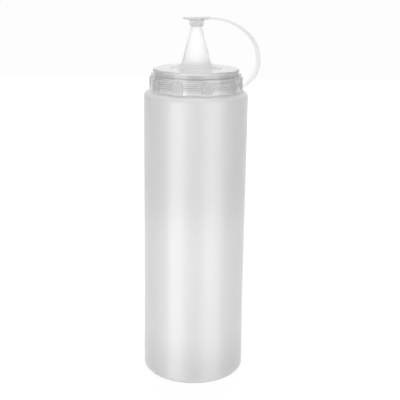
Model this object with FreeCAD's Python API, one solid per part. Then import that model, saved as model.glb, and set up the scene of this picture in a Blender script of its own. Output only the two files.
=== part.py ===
import FreeCAD, Part
import math
import os

from FreeCAD import Vector

# A wide-mouth squeeze bottle: a thin blown bottle, a screw lid with a cone nozzle, and a tip cap on a strap.
# The origin is the centre of the foot, +Z runs up the bottle's axis, and the strap bows out towards +X.
# All sizes are in millimetres.

# Bottle body
BODY_RADIUS = 34.5          # straight upper wall, outside
FOOT_SPREAD = 0.7           # how much wider the wall is at the foot
FLARE_HEIGHT = 95.0         # the wall spreads below this height
SHOULDER_HEIGHT = 197.8     # top of the shoulder's round corner
SHOULDER_ROUND = 3.5        # outside radius of that corner
SHOULDER_RISE = 0.3         # the shoulder climbs this much towards the neck
FOOT_ROUND = 2.7            # outside radius at the foot
STANDING_RING_WIDTH = 3.0   # flat ring that the bottle stands on
PUSH_UP = 1.6               # height of the hollow under the foot
BODY_WALL = 1.0
FLOOR = 1.3                 # thickness of the bottle's floor

# Neck and its screw thread
NECK_RADIUS = 26.8          # outside, between the turns of the thread
NECK_WALL = 1.4
NECK_HEIGHT = 12.7          # from the shoulder to the rim
NECK_ROOT_ROUND = 0.8       # inside corner between the neck and the shoulder
RIM_ROUND = 0.4
THREAD_PITCH = 4.2
THREAD_DEPTH = 1.0
THREAD_BASE = 2.0           # width of the ridge where it leaves the wall
THREAD_CREST = 0.9          # width of the ridge at its top
NECK_THREAD_TURNS = 1.5
THREAD_START = 2.2          # lowest turn's centre, above the shoulder
THREAD_SINK = 0.3           # how far a ridge is rooted in its wall
THREAD_START_ANGLE = 35.0   # where both threads begin, degrees round from +X

# Screw lid
LID_CLEARANCE = 0.4         # between the neck and the lid, all round
LID_THREAD_TURNS = 1.1
SKIRT_GAP = 0.5             # from the shoulder up to the skirt
SKIRT_WALL = 1.6
BAND_WALL = 1.25            # narrower band above the skirt
BAND_HEIGHT = 3.5           # from the step up to the plate's top
PLATE_THICKNESS = 1.5
PLATE_ROUND = 0.8
STEP_ROUND = 0.4

# Raised grip pads and fine grooves round the skirt
PAD_COUNT = 10
PAD_WIDTH = 6.8
PAD_RAISE = 1.0
PAD_BEVEL = 1.3             # height over which a pad slopes in at its top
PAD_TOP_GAP = 1.4           # from the step down to the pads' round tops
GROOVE_COUNT = 5
GROOVE_PITCH = 1.3
GROOVE_DEPTH = 0.25
GROOVE_WIDTH = 0.5
LOWEST_GROOVE = 3.2         # above the skirt's lower edge

# Cone nozzle
NOZZLE_HEIGHT = 30.7        # above the plate
NOZZLE_TIP_RADIUS = 2.6
NOZZLE_HALF_ANGLE = 14.45   # degrees
NOZZLE_WALL = 1.1
NOZZLE_FOOT_ROUND = 7.0     # sweep from the cone into the plate

# Tip cap
COLLAR_RADIUS = 4.75
COLLAR_HEIGHT = 3.8         # below the nozzle's tip
COLLAR_BEVEL = 0.8
COLLAR_CLEARANCE = 0.2      # between the nozzle and the collar
DISC_RADIUS = 6.2
DISC_HEIGHT = 1.8           # from the nozzle's tip to the disc's top
DISC_RIM = 0.9              # thickness at the disc's edge
DISC_EDGE_ROUND = 0.3
TAB_REACH = 9.0             # the thumb tab's end, from the axis
TAB_RADIUS = 4.6            # round end of the thumb tab
TAB_FOOT = 0.5              # the tab's underside meets the collar's top this far out from it

# Strap
STRAP_WIDTH = 6.4
STRAP_THICKNESS = 1.6
STRAP_STEP = 0.3            # how far the strap stands above the disc
STRAP_START = 3.4           # the strap's end on the disc, from the axis
STRAP_STRAIGHT = 9.0        # the strap leaves the disc level up to here
STRAP_BOW = 13.6            # how far the strap stands out from the skirt at its widest
STRAP_WIDEST = 18.0         # height of that point above the skirt's lower edge
STRAP_UPPER_TURN = 45.0     # how far the wide upper arc turns, degrees
STRAP_ROOT_BEND = 6.5       # radius that levels the strap at its root
STRAP_EDGE_ROUND = 0.35

# Working lengths
PAST = 1.0                  # how far a cutting shape runs on past the face that it opens
TOUCHING = 1e-4             # edges and points this near each other are taken as one

# Heights and radii that follow from the sizes above
FOOT_RADIUS = BODY_RADIUS + FOOT_SPREAD
NECK_ROOT_Z = SHOULDER_HEIGHT + SHOULDER_RISE
RIM_Z = NECK_ROOT_Z + NECK_HEIGHT
PLATE_TOP = RIM_Z + PLATE_THICKNESS
STEP_Z = PLATE_TOP - BAND_HEIGHT
SKIRT_BOTTOM = NECK_ROOT_Z + SKIRT_GAP
THREAD_CREST_RADIUS = NECK_RADIUS + THREAD_DEPTH
SKIRT_INNER = THREAD_CREST_RADIUS + LID_CLEARANCE
SKIRT_RADIUS = SKIRT_INNER + SKIRT_WALL
BAND_INNER = NECK_RADIUS + LID_CLEARANCE
BAND_RADIUS = BAND_INNER + BAND_WALL
PAD_RADIUS = SKIRT_RADIUS + PAD_RAISE
PAD_TOP = STEP_Z - PAD_TOP_GAP
TIP_Z = PLATE_TOP + NOZZLE_HEIGHT
DISC_TOP = TIP_Z + DISC_HEIGHT
COLLAR_BOTTOM = TIP_Z - COLLAR_HEIGHT
CONE_SLOPE = math.tan(math.radians(NOZZLE_HALF_ANGLE))


def point(radius, z):
    """A point of an outline drawn beside the axis."""
    return Vector(radius, 0, z)


def line(a, b):
    return Part.LineSegment(a, b).toShape()


def arc(a, middle, b):
    return Part.Arc(a, middle, b).toShape()


def corner_arc(centre, radius, from_angle, to_angle):
    """An arc of an outline, its angles in degrees from the outward direction."""
    a, middle, b = [
        centre + Vector(radius * math.cos(math.radians(t)), 0, radius * math.sin(math.radians(t)))
        for t in (from_angle, (from_angle + to_angle) / 2, to_angle)
    ]
    return arc(a, middle, b)


def chain(pieces):
    """One closed wire of the given edges, with a straight edge across each gap between them."""
    edges = []
    for piece, following in zip(pieces, pieces[1:] + pieces[:1]):
        edges.append(piece)
        end = piece.lastVertex(True).Point
        start = following.firstVertex(True).Point
        if end.distanceToPoint(start) > TOUCHING:
            edges.append(line(end, start))
    return Part.Wire(Part.__sortEdges__(edges))


def turned(outline):
    """The solid that an outline sweeps in one turn about the axis."""
    return Part.Face(outline).revolve(Vector(0, 0, 0), Vector(0, 0, 1), 360)


def turned_polygon(points):
    """The same, for an outline of straight edges given as (radius, z) pairs."""
    corners = [point(r, z) for r, z in points]
    return turned(Part.makePolygon(corners + corners[:1]))


def ring_edges(shape, radius, z):
    """The round edges of a shape that have the given radius and height."""
    return [
        e for e in shape.Edges
        if isinstance(e.Curve, Part.Circle)
        and abs(e.Curve.Radius - radius) < TOUCHING
        and abs(e.Curve.Center.z - z) < TOUCHING
    ]


def thread_ridge(wall_radius, outward, centre_z, turns):
    """A helical ridge on a round wall, pointing away from the axis or towards it."""
    sign = 1 if outward else -1
    root = wall_radius - sign * THREAD_SINK
    crest = wall_radius + sign * THREAD_DEPTH
    low = centre_z - THREAD_BASE / 2
    inset = (THREAD_BASE - THREAD_CREST) / 2
    corners = [
        point(root, low),
        point(crest, low + inset),
        point(crest, low + inset + THREAD_CREST),
        point(root, low + THREAD_BASE),
    ]
    section = Part.makePolygon(corners + corners[:1])
    helix = Part.makeHelix(THREAD_PITCH, THREAD_PITCH * turns, wall_radius)
    helix.translate(Vector(0, 0, centre_z))
    ridge = Part.Wire(helix.Edges).makePipeShell([section], True, True)
    ridge.rotate(Vector(0, 0, 0), Vector(0, 0, 1), THREAD_START_ANGLE)
    return ridge


def bottle_outline(inset, floor_z, top_z):
    """Half of the bottle's outline without the push-up, moved inwards by a wall's thickness."""
    body = BODY_RADIUS - inset
    foot = FOOT_RADIUS - inset
    foot_round = FOOT_ROUND - inset
    shoulder_round = SHOULDER_ROUND - inset
    neck = (NECK_RADIUS - NECK_WALL) if inset else NECK_RADIUS
    foot_z = floor_z + foot_round
    corner_z = SHOULDER_HEIGHT - SHOULDER_ROUND
    spread = foot - body
    flare_radius = ((FLARE_HEIGHT - foot_z) ** 2 + spread ** 2) / (2 * spread)
    half_turn = math.asin((FLARE_HEIGHT - foot_z) / flare_radius) / 2
    flare_middle = point(
        body + flare_radius * (1 - math.cos(half_turn)),
        FLARE_HEIGHT - flare_radius * math.sin(half_turn),
    )
    edges = [
        line(point(0, floor_z), point(foot - foot_round, floor_z)),
        corner_arc(point(foot - foot_round, foot_z), foot_round, -90, 0),
        arc(point(foot, foot_z), flare_middle, point(body, FLARE_HEIGHT)),
        line(point(body, FLARE_HEIGHT), point(body, corner_z)),
        corner_arc(point(body - shoulder_round, corner_z), shoulder_round, 0, 90),
        line(point(neck, NECK_ROOT_Z - inset), point(neck, top_z)),
        line(point(0, top_z), point(0, floor_z)),
    ]
    return chain(edges)


def bottle():
    """The blown bottle: body, shoulder, threaded neck and pushed-up foot."""
    outside = turned(bottle_outline(0, 0, RIM_Z))
    outside = outside.makeFillet(NECK_ROOT_ROUND, ring_edges(outside, NECK_RADIUS, NECK_ROOT_Z))
    outside = outside.makeFillet(RIM_ROUND, ring_edges(outside, NECK_RADIUS, RIM_Z))
    ring_inner = FOOT_RADIUS - FOOT_ROUND - STANDING_RING_WIDTH
    hollow = turned_polygon([
        (0, -PAST), (ring_inner, -PAST), (ring_inner, 0), (ring_inner - PUSH_UP, PUSH_UP), (0, PUSH_UP),
    ])
    raised_floor = turned_polygon([
        (0, 0), (ring_inner, 0), (ring_inner, FLOOR),
        (ring_inner - PUSH_UP, FLOOR + PUSH_UP), (0, FLOOR + PUSH_UP),
    ])
    inside = turned(bottle_outline(BODY_WALL, FLOOR, RIM_Z + PAST)).cut(raised_floor)
    thread = thread_ridge(NECK_RADIUS, True, NECK_ROOT_Z + THREAD_START, NECK_THREAD_TURNS)
    return outside.fuse(thread).cut(hollow).cut(inside)


def grip_pads():
    """Arch-shaped pads on the skirt, set evenly so that the strap's root lies midway between two."""
    bound = turned_polygon([
        (SKIRT_INNER + SKIRT_WALL / 2, SKIRT_BOTTOM),
        (PAD_RADIUS, SKIRT_BOTTOM),
        (PAD_RADIUS, PAD_TOP - PAD_BEVEL),
        (SKIRT_RADIUS, PAD_TOP),
        (SKIRT_INNER + SKIRT_WALL / 2, PAD_TOP),
    ])
    half = PAD_WIDTH / 2
    arch = Part.Wire([
        line(Vector(0, -half, SKIRT_BOTTOM), Vector(0, half, SKIRT_BOTTOM)),
        line(Vector(0, half, SKIRT_BOTTOM), Vector(0, half, PAD_TOP - half)),
        arc(Vector(0, half, PAD_TOP - half), Vector(0, 0, PAD_TOP), Vector(0, -half, PAD_TOP - half)),
        line(Vector(0, -half, PAD_TOP - half), Vector(0, -half, SKIRT_BOTTOM)),
    ])
    pad = Part.Face(arch).extrude(Vector(PAD_RADIUS + PAST, 0, 0)).common(bound)
    pads = []
    for i in range(PAD_COUNT):
        copy = pad.copy()
        copy.rotate(Vector(0, 0, 0), Vector(0, 0, 1), (i + 0.5) * 360 / PAD_COUNT)
        pads.append(copy)
    return pads


def skirt_grooves():
    """Fine V-grooves round the skirt, which the pads cover where they cross."""
    grooves = []
    for i in range(GROOVE_COUNT):
        z = SKIRT_BOTTOM + LOWEST_GROOVE + i * GROOVE_PITCH
        grooves.append(turned_polygon([
            (SKIRT_RADIUS + GROOVE_DEPTH, z - GROOVE_WIDTH),
            (SKIRT_RADIUS + GROOVE_DEPTH, z + GROOVE_WIDTH),
            (SKIRT_RADIUS - GROOVE_DEPTH, z),
        ]))
    return grooves


def nozzle_radius(z):
    """Outside radius of the nozzle's cone at a height."""
    return NOZZLE_TIP_RADIUS + (TIP_Z - z) * CONE_SLOPE


def cone_outline(inset, foot_round, level, foot_z, top_z):
    """Half outline of the cone, moved inwards by the inset, with a round sweep that ends at the level."""
    tilt = math.radians(NOZZLE_HALF_ANGLE)
    side = inset / math.cos(tilt)
    centre_z = level + foot_round
    centre = point(nozzle_radius(centre_z) - side + foot_round / math.cos(tilt), centre_z)
    return chain([
        line(point(0, top_z), point(nozzle_radius(top_z) - side, top_z)),
        corner_arc(centre, foot_round, 180 + NOZZLE_HALF_ANGLE, 270),
        line(point(centre.x, foot_z), point(0, foot_z)),
    ])


def nozzle_outside():
    """The nozzle's cone down to the plate, with the round sweep at its foot."""
    return turned(cone_outline(0, NOZZLE_FOOT_ROUND, PLATE_TOP, PLATE_TOP - PLATE_THICKNESS / 2, TIP_Z))


def nozzle_bore():
    """The cone inside the nozzle, open at the tip, which sweeps out into the plate's underside."""
    foot_round = NOZZLE_FOOT_ROUND + NOZZLE_WALL
    return turned(cone_outline(NOZZLE_WALL, foot_round, RIM_Z, RIM_Z - PAST, TIP_Z + PAST))


def lid():
    """The screw lid: plate, band, skirt with pads and grooves, inside thread and nozzle."""
    outside = turned_polygon([
        (0, SKIRT_BOTTOM), (SKIRT_RADIUS, SKIRT_BOTTOM), (SKIRT_RADIUS, STEP_Z),
        (BAND_RADIUS, STEP_Z), (BAND_RADIUS, PLATE_TOP), (0, PLATE_TOP),
    ])
    outside = outside.makeFillet(PLATE_ROUND, ring_edges(outside, BAND_RADIUS, PLATE_TOP))
    outside = outside.makeFillet(STEP_ROUND, ring_edges(outside, SKIRT_RADIUS, STEP_Z))
    outside = outside.cut(skirt_grooves())
    outside = outside.fuse(grip_pads() + [nozzle_outside()])
    inner_step = STEP_Z - (SKIRT_WALL - BAND_WALL)
    inside = turned_polygon([
        (0, SKIRT_BOTTOM - PAST), (SKIRT_INNER, SKIRT_BOTTOM - PAST), (SKIRT_INNER, inner_step),
        (BAND_INNER, inner_step), (BAND_INNER, RIM_Z), (0, RIM_Z),
    ])
    between_turns = NECK_ROOT_Z + THREAD_START + THREAD_PITCH / 2
    thread = thread_ridge(SKIRT_INNER, False, between_turns, LID_THREAD_TURNS)
    return outside.cut([inside, nozzle_bore()]).fuse(thread)


def egg_wire(disc_radius, tab_radius, tab_centre, z):
    """A disc about the axis joined by straight flanks to a smaller round tab on its -X side."""
    lean = math.asin((disc_radius - tab_radius) / tab_centre)

    def on(radius, centre_x, angle):
        return Vector(centre_x + radius * math.cos(angle), radius * math.sin(angle), z)

    upper = math.pi / 2 + lean
    a, b = on(disc_radius, 0, upper), on(tab_radius, -tab_centre, upper)
    c, d = on(tab_radius, -tab_centre, -upper), on(disc_radius, 0, -upper)
    return Part.Wire([
        arc(d, on(disc_radius, 0, 0), a),
        line(a, b),
        arc(b, on(tab_radius, -tab_centre, math.pi), c),
        line(c, d),
    ])


def tip_disc():
    """The egg-shaped disc with its thumb tab, thin at the edge and thick above the collar."""
    rim_z = DISC_TOP - DISC_RIM
    tab_centre = TAB_REACH - TAB_RADIUS
    plan = egg_wire(DISC_RADIUS, TAB_RADIUS, tab_centre, rim_z)
    rim = Part.Face(plan).extrude(Vector(0, 0, DISC_RIM))
    rim = rim.makeFillet(DISC_EDGE_ROUND, [e for e in rim.Edges if e.BoundBox.ZMin > DISC_TOP - TOUCHING])
    small = egg_wire(COLLAR_RADIUS, COLLAR_RADIUS - TAB_FOOT, 2 * TAB_FOOT, TIP_Z)
    return rim.fuse(Part.makeLoft([small, plan], True, True))


def strap_profile():
    """The strap's side outline: level at the disc, four arcs that bow outwards, and level at the root."""
    half = STRAP_THICKNESS / 2
    disc_z = DISC_TOP + STRAP_STEP - half
    widest = point(SKIRT_RADIUS + STRAP_BOW - half, SKIRT_BOTTOM + STRAP_WIDEST)
    root = point(SKIRT_RADIUS, SKIRT_BOTTOM + half)

    # Two arcs turn the strap from level at the disc to upright at its widest point.
    across, down = widest.x - STRAP_STRAIGHT, disc_z - widest.z
    sine, cosine = math.sin(math.radians(STRAP_UPPER_TURN)), math.cos(math.radians(STRAP_UPPER_TURN))
    upper = (across * cosine - down * (1 - sine)) / (sine + cosine - 1)
    middle = (down * sine - across * (1 - cosine)) / (sine + cosine - 1)

    # A third runs from there into the bend at the root, where the two meet in one line.
    across, down = widest.x - root.x, widest.z - root.z - STRAP_ROOT_BEND
    lower = (across ** 2 + down ** 2 - STRAP_ROOT_BEND ** 2) / (2 * (across - STRAP_ROOT_BEND))
    meeting = -math.degrees(math.acos((lower - across) / (lower - STRAP_ROOT_BEND)))

    def side(offset):
        first = line(point(STRAP_START, disc_z + offset), point(STRAP_STRAIGHT, disc_z + offset))
        arcs = [
            corner_arc(point(STRAP_STRAIGHT, disc_z - upper), upper + offset, 90, 90 - STRAP_UPPER_TURN),
            corner_arc(widest - Vector(middle, 0, 0), middle + offset, 90 - STRAP_UPPER_TURN, 0),
            corner_arc(widest - Vector(lower, 0, 0), lower + offset, 0, meeting),
            corner_arc(root + Vector(0, 0, STRAP_ROOT_BEND), STRAP_ROOT_BEND + offset, meeting, -90),
        ]
        end = arcs[-1].lastVertex(True).Point
        return [first] + arcs + [line(end, end - Vector(SKIRT_WALL / 2, 0, 0))]

    outer, inner = side(half), side(-half)
    ends = [
        line(outer[0].firstVertex(True).Point, inner[0].firstVertex(True).Point),
        line(outer[-1].lastVertex(True).Point, inner[-1].lastVertex(True).Point),
    ]
    return Part.Wire(Part.__sortEdges__(outer + inner + ends))


def strap():
    """The flat strap, its root shaped to lie against the skirt."""
    flat = Part.Face(strap_profile())
    flat.translate(Vector(0, -STRAP_WIDTH / 2, 0))
    body = flat.extrude(Vector(0, STRAP_WIDTH, 0))
    sides = [
        e for e in body.Edges
        if e.BoundBox.YMax < TOUCHING - STRAP_WIDTH / 2 or e.BoundBox.YMin > STRAP_WIDTH / 2 - TOUCHING
    ]
    body = body.makeFillet(STRAP_EDGE_ROUND, sides)
    skirt = Part.makeCylinder(SKIRT_RADIUS, PLATE_TOP - SHOULDER_HEIGHT, Vector(0, 0, SHOULDER_HEIGHT))
    return body.cut(skirt)


def tip_cap():
    """The tip cap: collar over the nozzle's tip, disc with thumb tab, and strap, all one moulding."""
    collar = turned_polygon([
        (0, COLLAR_BOTTOM), (COLLAR_RADIUS - COLLAR_BEVEL, COLLAR_BOTTOM),
        (COLLAR_RADIUS, COLLAR_BOTTOM + COLLAR_BEVEL), (COLLAR_RADIUS, TIP_Z), (0, TIP_Z),
    ])
    mouth_z = COLLAR_BOTTOM - PAST
    socket = turned_polygon([
        (0, mouth_z), (nozzle_radius(mouth_z) + COLLAR_CLEARANCE, mouth_z),
        (NOZZLE_TIP_RADIUS + COLLAR_CLEARANCE, TIP_Z), (0, TIP_Z),
    ])
    return collar.fuse([tip_disc(), strap()]).cut(socket)


os.makedirs("parts", exist_ok=True)
for name, make in (("bottle", bottle), ("lid", lid), ("tip_cap", tip_cap)):
    shape = make().removeSplitter()
    print(name, "solids", len(shape.Solids), "valid", shape.isValid(), "volume", round(shape.Volume, 1))
    shape.Solids[0].exportStep(f"parts/{name}.step")
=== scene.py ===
"""A squeeze bottle of milky see-through plastic, in a plain studio.

All three pieces show their CAD shape. This script gives the bottle, the lid and the tip cap
their finishes, and adds the floor, the lamps and the camera.
"""

import math

import bpy
from mathutils import Matrix, Vector


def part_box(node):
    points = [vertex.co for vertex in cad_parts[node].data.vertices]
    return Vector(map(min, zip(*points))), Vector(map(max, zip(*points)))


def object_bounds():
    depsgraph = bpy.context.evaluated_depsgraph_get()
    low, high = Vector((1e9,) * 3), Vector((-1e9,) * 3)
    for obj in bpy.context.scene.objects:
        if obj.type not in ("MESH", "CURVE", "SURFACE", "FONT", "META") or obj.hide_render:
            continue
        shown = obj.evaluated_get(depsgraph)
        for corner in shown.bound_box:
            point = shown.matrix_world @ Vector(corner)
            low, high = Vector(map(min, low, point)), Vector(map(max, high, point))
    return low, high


MM = 0.001

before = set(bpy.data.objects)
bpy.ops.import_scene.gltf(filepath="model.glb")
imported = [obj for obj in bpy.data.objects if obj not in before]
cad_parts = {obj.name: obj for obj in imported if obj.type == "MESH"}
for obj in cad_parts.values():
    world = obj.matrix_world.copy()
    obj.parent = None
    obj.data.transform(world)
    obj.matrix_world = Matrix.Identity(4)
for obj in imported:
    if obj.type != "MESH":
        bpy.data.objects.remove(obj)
cad_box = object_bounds()

# ---------------------------------------------------------------------------
# Places where a finish changes, in metres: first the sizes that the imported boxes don't give

PAD_RAISE = 1.0 * MM            # how far the grip pads stand out from the skirt
BAND_INSET = 0.35 * MM          # how far the band stands back from the skirt
BAND_HEIGHT = 3.5 * MM          # from the step up to the plate's top
PLATE_THICKNESS = 1.5 * MM
SHOULDER_DROP = 0.8 * MM        # from the skirt down to the shoulder's round corner

BOTTLE_LOW, BOTTLE_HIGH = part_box("bottle")
LID_LOW, LID_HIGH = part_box("lid")
CAP_LOW, CAP_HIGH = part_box("tip_cap")

AXIS = 0.0
FOOT = BOTTLE_LOW.z
SKIRT_RADIUS = LID_HIGH.y - PAD_RAISE
BAND_RADIUS = SKIRT_RADIUS - BAND_INSET
SKIRT_BOTTOM = LID_LOW.z
SHOULDER_HEIGHT = SKIRT_BOTTOM - SHOULDER_DROP
PLATE_TOP = BOTTLE_HIGH.z + PLATE_THICKNESS
STEP_HEIGHT = PLATE_TOP - BAND_HEIGHT
NOZZLE_TIP = LID_HIGH.z
DISC_RADIUS = (CAP_HIGH.y - CAP_LOW.y) / 2


# ---------------------------------------------------------------------------
# Shader maths

class Value:
    """One socket of a finish. Sums with it add Math nodes."""

    def __init__(self, finish, socket):
        self.finish = finish
        self.socket = socket

    def calculate(self, operation, a, b):
        return self.finish.node("Math", {"operation": operation}, {0: a, 1: b})

    def __add__(self, other):
        return self.calculate("ADD", self, other)

    def __radd__(self, other):
        return self.calculate("ADD", other, self)

    def __sub__(self, other):
        return self.calculate("SUBTRACT", self, other)

    def __rsub__(self, other):
        return self.calculate("SUBTRACT", other, self)

    def __mul__(self, other):
        return self.calculate("MULTIPLY", self, other)

    def __rmul__(self, other):
        return self.calculate("MULTIPLY", other, self)

    def __pow__(self, other):
        return self.calculate("POWER", self, other)

    def __rpow__(self, other):
        return self.calculate("POWER", other, self)


class Finish:
    """The node tree of one material or world, while it is built."""

    def __init__(self, owner):
        owner.use_nodes = True
        self.tree = owner.node_tree
        self.tree.nodes.clear()

    def node(self, kind, settings=None, sockets=None, output=0):
        """Adds a node: its settings first, then its sockets' values or links. Gives one output."""
        made = self.tree.nodes.new("ShaderNode" + kind)
        for name, value in (settings or {}).items():
            setattr(made, name, value)
        for name, value in (sockets or {}).items():
            if isinstance(value, Value):
                self.tree.links.new(value.socket, made.inputs[name])
            else:
                made.inputs[name].default_value = value
        return Value(self, made.outputs[output]) if len(made.outputs) else made

    def place(self):
        """The point on the piece, in metres from the centre of the foot."""
        return self.node("TexCoord", output="Object")

    def parts(self, vector):
        """The x, y and z of a vector."""
        split = self.node("SeparateXYZ", sockets={0: vector}).socket.node
        return [Value(self, socket) for socket in split.outputs]

    def vector(self, x, y, z):
        return self.node("CombineXYZ", sockets={0: x, 1: y, 2: z})

    def stretch(self, vector, x, y, z):
        return self.node("VectorMath", {"operation": "MULTIPLY"}, {0: vector, 1: (x, y, z)})

    def noise(self, vector, frequency, detail):
        """Soft noise about zero, from -0.5 to 0.5, with its frequency per unit of the vector."""
        sockets = {"Vector": vector, "Scale": frequency, "Detail": detail, "Roughness": 0.5}
        return self.node("TexNoise", {"normalize": True}, sockets, "Fac") - 0.5

    def rise(self, value, place, start, end):
        """0 below start and 1 above end, both in millimetres from the place."""
        return self.node("MapRange", {"interpolation_type": "SMOOTHSTEP"}, {
            "Value": value, "From Min": place + start * MM, "From Max": place + end * MM,
        })

    def fall(self, value, place, start, end):
        """1 below start and 0 above end, both in millimetres from the place."""
        return 1 - self.rise(value, place, start, end)

    def grey(self, brightness):
        return self.node("CombineColor", sockets={0: brightness, 1: brightness, 2: brightness})

    def bump(self, height, depth):
        """A surface normal from a height map, where 1 stands the depth in metres proud of 0."""
        return self.node("Bump", sockets={"Height": height, "Distance": depth, "Strength": 1.0})

    def mix(self, mask, plain, masked):
        """One shader where the mask is 0, and the other where it is 1."""
        return self.node("MixShader", sockets={0: mask, 1: plain, 2: masked})

    def surface(self, shader):
        self.node("OutputMaterial", sockets={"Surface": shader})

    def see_through_surface(self, shader, passed):
        """A surface that lets a share of each lamp's light straight through to what is behind."""
        lamp_ray = self.node("LightPath", output="Is Shadow Ray")
        passing = self.node("BsdfTransparent", sockets={"Color": (passed, passed, passed, 1)})
        self.surface(self.mix(lamp_ray, shader, passing))


def from_axis(x, y):
    """A point's distance from the bottle's axis."""
    return (x * x + y * y) ** 0.5


def new_finish(slot):
    """An empty material for one of the record's slots, put on the piece that has the slot."""
    material = bpy.data.materials.new(slot)
    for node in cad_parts.values():
        for holder in node.material_slots:
            if holder.material and holder.material.name.split(".")[0] == slot:
                holder.material = material
    return Finish(material)


# ---------------------------------------------------------------------------
# Finishes. Each mask is 1 on the part that it is named for, and a tone is a brightness.

CLEAR = 0.85                    # share of the light that goes into a clear plastic
NO_GLOSS = 0.0                  # the clear plastics get their gloss from the coat alone
BLOWN_GRAIN = 1400              # grains to a metre
MOULDED_GRAIN = 1800            # grains to a metre
BLOWN_DEPTH = 0.08 * MM         # of the bottle's parting line, streaks and grain
MOULDED_DEPTH = 0.04 * MM       # of the lid's and the tip cap's grain and waves


def bottle_plastic():
    """Blown plastic, milky and satin: drawn streaks, a parting line and a seam under the foot."""
    f = new_finish("bottle_plastic")
    place = f.place()
    x, y, height = f.parts(place)
    radius = from_axis(x, y)
    angle = f.node("Math", {"operation": "ARCTAN2"}, {0: y, 1: x})
    from_parting_line = f.node("Math", {"operation": "ABSOLUTE"}, {0: y})

    # Clouds and streaks are drawn out along the bottle, as the plastic was when it was blown
    clouds = f.noise(f.stretch(place, 1, 1, 0.35), frequency=26, detail=3)
    streaks = f.noise(f.vector(angle * 9, height * 1.5, 0), frequency=1.0, detail=4)
    grain = f.noise(place, BLOWN_GRAIN, detail=2)

    underside = f.fall(height, FOOT, 1.8, 2.6)
    # Painted light: a band across the lower body, the belly, is painted lighter.
    belly_light = f.rise(height, FOOT, 8, 36) * f.fall(height, FOOT, 98, 138)
    shoulder = f.rise(height, SHOULDER_HEIGHT, -3, -1)
    neck = shoulder * f.fall(radius, SKIRT_RADIUS, 0.5, 2)
    line = f.fall(from_parting_line, AXIS, 0.1, 0.35)

    # Painted light in the tone: the belly is lighter, and the shoulder and, most of all, the neck
    # under the lid's skirt are painted lighter against the lid's shade.
    tone = (0.65 + belly_light * 0.075 + shoulder * 0.08 + neck * 0.19
            + clouds * 0.03 + streaks * 0.02)
    relief = (grain * 0.35 * (1 - shoulder) + streaks * 0.4
              + line * (0.35 + underside * 0.65))
    milky = f.node("BsdfPrincipled", sockets={
        "Base Color": f.grey(tone),
        "Roughness": 0.38 + clouds * 0.06 + grain * 0.05,
        "IOR": 1.5,
        "Transmission Weight": 0.6,
        "Coat Weight": 1 - neck * 0.9,
        "Coat Roughness": 0.32,
        "Normal": f.bump(relief, BLOWN_DEPTH),
    })
    f.see_through_surface(milky, passed=0.3)


def lid_plastic():
    """Frosted clear plastic: glossy plate, band and skirt, matt grip pads, a milkier nozzle."""
    f = new_finish("lid_plastic")
    place = f.place()
    x, y, height = f.parts(place)
    radius = from_axis(x, y)

    waves = f.noise(place, frequency=90, detail=2)
    grain = f.noise(place, MOULDED_GRAIN, detail=2)

    # Painted light: the skirt's lower edge is painted lighter, against the shade in the gap over
    # the shoulder.
    lower_edge_light = f.fall(height, SKIRT_BOTTOM, 0.5, 1.5)
    skirt = f.fall(height, STEP_HEIGHT, -0.4, 0)
    # Painted shade: a dark line is painted on the skirt just under the step.
    under_step_shade = (f.rise(height, STEP_HEIGHT, -1.1, -0.9)
             * f.fall(height, STEP_HEIGHT, -0.5, -0.3))
    pads = f.rise(radius, SKIRT_RADIUS, 0.02, 0.1)
    # Painted shade: the grooves cut into the skirt are painted darker.
    groove_shade = (f.rise(radius, SKIRT_RADIUS, -0.4, -0.35)
               * f.fall(radius, SKIRT_RADIUS, -0.2, -0.03))
    # Painted light: the plate's top, which faces the light from above, is painted lighter.
    plate = f.rise(height, PLATE_TOP, -0.4, -0.1)
    # Painted light: the plate's rounded rim is painted a little lighter against its dark shading;
    # it is also duller.
    rim = (f.rise(height, PLATE_TOP, -1.8, -1.3) * (1 - plate)
           * f.rise(radius, BAND_RADIUS, -2.0, -1.6))
    nozzle = f.rise(height, PLATE_TOP, -2.0, -1.6) * f.fall(radius, AXIS, 12, 19)

    tone = (0.58 + skirt * 0.12 + plate * 0.19 + rim * 0.06 + lower_edge_light * 0.15
            - pads * 0.11 - groove_shade * 0.35 - under_step_shade * 0.3 + waves * 0.01)
    dull = pads + rim * 0.5 * (1 - pads)
    frosted = f.node("BsdfPrincipled", sockets={
        "Base Color": f.grey(tone),
        "Roughness": 0.2 + dull * 0.35 + waves * 0.03 + grain * 0.02,
        "IOR": 1.5,
        "Specular IOR Level": NO_GLOSS,
        "Transmission Weight": CLEAR,
        "Coat Weight": 0.7 - dull * 0.7,
        "Coat Roughness": 0.08,
        "Normal": f.bump(grain * (0.08 + pads * 0.6) + waves * 0.1, MOULDED_DEPTH),
    })
    milky = f.node("BsdfPrincipled", sockets={
        "Base Color": f.grey(0.89 + waves * 0.01),
        "Roughness": 0.45 + waves * 0.03 + grain * 0.02,
        "IOR": 1.2,
        "Specular IOR Level": NO_GLOSS,
        "Transmission Weight": CLEAR,
        "Normal": f.bump(grain * 0.08 + waves * 0.1, MOULDED_DEPTH),
    })
    f.see_through_surface(f.mix(nozzle, frosted, milky), passed=0.75)


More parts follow.
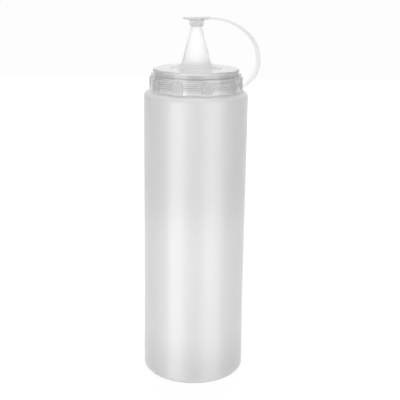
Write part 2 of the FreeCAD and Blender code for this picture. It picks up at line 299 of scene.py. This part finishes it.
def tip_cap_plastic():
    """Frosted clear plastic, softer than the lid's: a satin cap and a clearer, smooth strap."""
    f = new_finish("tip_cap_plastic")
    place = f.place()
    x, _, height = f.parts(place)

    waves = f.noise(place, frequency=140, detail=2)
    grain = f.noise(place, MOULDED_GRAIN, detail=2)

    strap = f.rise(x, DISC_RADIUS, 1.8, 3.8)
    # Painted shade: the strap is painted a little darker towards its top.
    upper_strap_shade = f.rise(height, NOZZLE_TIP, -32, -6) * strap
    collar = f.fall(height, NOZZLE_TIP, -0.1, 0.1) * (1 - strap)

    satin = f.node("BsdfPrincipled", sockets={
        "Base Color": f.grey(0.61 + collar * 0.16 + waves * 0.02),
        "Roughness": 0.45 - collar * 0.1 + waves * 0.03 + grain * 0.02,
        "IOR": 1.35,
        "Specular IOR Level": NO_GLOSS,
        "Transmission Weight": CLEAR,
        "Coat Weight": 0.5,
        "Coat Roughness": 0.15,
        "Normal": f.bump(grain * 0.1 + waves * 0.1, MOULDED_DEPTH),
    })
    # The strap is shaded by its true faces, which keeps its thin edges clean
    clear = f.node("BsdfPrincipled", sockets={
        "Base Color": f.grey(0.84 - upper_strap_shade * 0.04 + waves * 0.02),
        "Roughness": 0.3 + waves * 0.03,
        "IOR": 1.2,
        "Specular IOR Level": NO_GLOSS,
        "Transmission Weight": 1.0,
        "Normal": f.node("NewGeometry", output="True Normal"),
    })
    f.see_through_surface(f.mix(strap, satin, clear), passed=0.4)


# ---------------------------------------------------------------------------
# Studio

CAMERA_TURN = 14.0              # degrees round from the front, towards -X
CAMERA_PITCH = 16.141           # degrees down
CAMERA_ROLL = 0.783             # degrees
CAMERA_DISTANCE = 521.98 * MM   # in front of the axis
CAMERA_SIDE = 3.66 * MM         # to the right of the axis
CAMERA_HEIGHT = 273.29 * MM     # above the foot
CAMERA_LENS = 71.04             # focal length in millimetres
CAMERA_SENSOR = 36.0            # width in millimetres

FLOOR_SIZE = 40.0               # in metres
FLOOR_DROP = 0.05 * MM          # keeps the floor clear of the foot
FLOOR_WHITENESS = 0.92          # the rest of what shows is the lit floor, with its shadow
FLOOR_PAINT = (0.95, 0.95, 0.95, 1.0)
AMBIENT = 0.08                  # how bright the white room is to the bottle
WHITE = (1.0, 1.0, 1.0, 1.0)


def seen_directly(f):
    """1 for a ray from the camera or one that a surface mirrors or lets through, else 0."""
    path = f.node("LightPath").socket.node
    camera, glossy, through = [Value(f, path.outputs[name]) for name in (
        "Is Camera Ray", "Is Glossy Ray", "Is Transmission Ray",
    )]
    return f.node("Math", {"operation": "MINIMUM"}, {0: camera + glossy + through, 1: 1.0})


def white_room():
    """A white world that lights the bottle less than it shows."""
    world = bpy.data.worlds.new("studio")
    bpy.context.scene.world = world
    f = Finish(world)
    strength = AMBIENT + (1 - AMBIENT) * seen_directly(f)
    shade = f.node("Background", sockets={"Color": WHITE, "Strength": strength})
    f.node("OutputWorld", sockets={"Surface": shade})


def pale_floor():
    """A plain floor that keeps a faint shadow and isn't mirrored in the bottle."""
    bpy.ops.mesh.primitive_plane_add(size=FLOOR_SIZE, location=(0, 0, FOOT - FLOOR_DROP))
    plane = bpy.context.object
    plane.name = "floor"
    material = bpy.data.materials.new("floor")
    plane.data.materials.append(material)
    f = Finish(material)
    paint = f.node("BsdfDiffuse", sockets={"Color": FLOOR_PAINT})
    white = f.node("Emission", sockets={"Color": WHITE, "Strength": 1.0})
    f.surface(f.mix(seen_directly(f) * FLOOR_WHITENESS, paint, white))
    plane.visible_glossy = False
    plane.visible_shadow = False


def softbox(name, turn, elevation, distance, width, height, brightness, mirrored=True):
    """A soft lamp aimed at the bottle's middle, which isn't seen through the clear plastics.

    The turn is from the camera towards +X and the elevation from level, both in degrees. The
    distance, width and height are in metres. The brightness is the lamp's own, where 1 is white.
    """
    data = bpy.data.lights.new(name, "AREA")
    data.shape = "RECTANGLE"
    data.size = width
    data.size_y = height
    data.energy = brightness * math.pi * width * height
    lamp = bpy.data.objects.new(name, data)
    bpy.context.scene.collection.objects.link(lamp)
    across = math.radians(turn - CAMERA_TURN)
    up = math.radians(elevation)
    towards = Vector((
        math.sin(across) * math.cos(up), -math.cos(across) * math.cos(up), math.sin(up),
    ))
    middle = (cad_box[0] + cad_box[1]) / 2
    lamp.location = middle + towards * distance
    lamp.rotation_mode = "QUATERNION"
    lamp.rotation_quaternion = towards.to_track_quat("Z", "Y")
    lamp.visible_transmission = False
    lamp.visible_glossy = mirrored


def skylight(level, spread):
    """Even soft light from straight above. The level is how bright it makes a white floor."""
    data = bpy.data.lights.new("skylight", "SUN")
    data.energy = level * math.pi
    data.angle = math.radians(spread)
    lamp = bpy.data.objects.new("skylight", data)
    lamp.visible_glossy = False
    bpy.context.scene.collection.objects.link(lamp)


def camera():
    """A camera in front of the bottle: turned a little, looking down, and hardly rolled."""
    data = bpy.data.cameras.new("camera")
    data.lens = CAMERA_LENS
    data.sensor_width = CAMERA_SENSOR
    data.clip_start = 10 * MM
    data.clip_end = 100.0
    eye = bpy.data.objects.new("camera", data)
    bpy.context.scene.collection.objects.link(eye)
    turn = Matrix.Rotation(math.radians(-CAMERA_TURN), 4, "Z")
    place = turn @ Matrix.Translation((CAMERA_SIDE, -CAMERA_DISTANCE, CAMERA_HEIGHT))
    aim = Matrix.Rotation(math.radians(90 - CAMERA_PITCH), 4, "X")
    roll = Matrix.Rotation(math.radians(CAMERA_ROLL), 4, "Z")
    eye.matrix_world = place @ aim @ roll
    bpy.context.scene.camera = eye


def let_light_through():
    """Enough bounces for light to cross all the thin walls."""
    cycles = bpy.context.scene.cycles
    cycles.max_bounces = 32
    cycles.transmission_bounces = 32
    cycles.glossy_bounces = 16
    cycles.diffuse_bounces = 8


bottle_plastic()
lid_plastic()
tip_cap_plastic()

white_room()
pale_floor()
softbox("left softbox", turn=-40, elevation=-10, distance=1.1,
        width=0.71, height=1.1, brightness=2.75)
softbox("right softbox", turn=41, elevation=-10, distance=1.1,
        width=0.83, height=1.1, brightness=2.0)
softbox("front fill", turn=0, elevation=15, distance=1.5,
        width=1.0, height=1.0, brightness=4.0, mirrored=False)
softbox("back fill", turn=180, elevation=15, distance=1.5,
        width=1.5, height=1.0, brightness=6.0, mirrored=False)
skylight(level=0.68, spread=80)
camera()
let_light_through()
bpy.context.scene.view_settings.view_transform = "Standard"
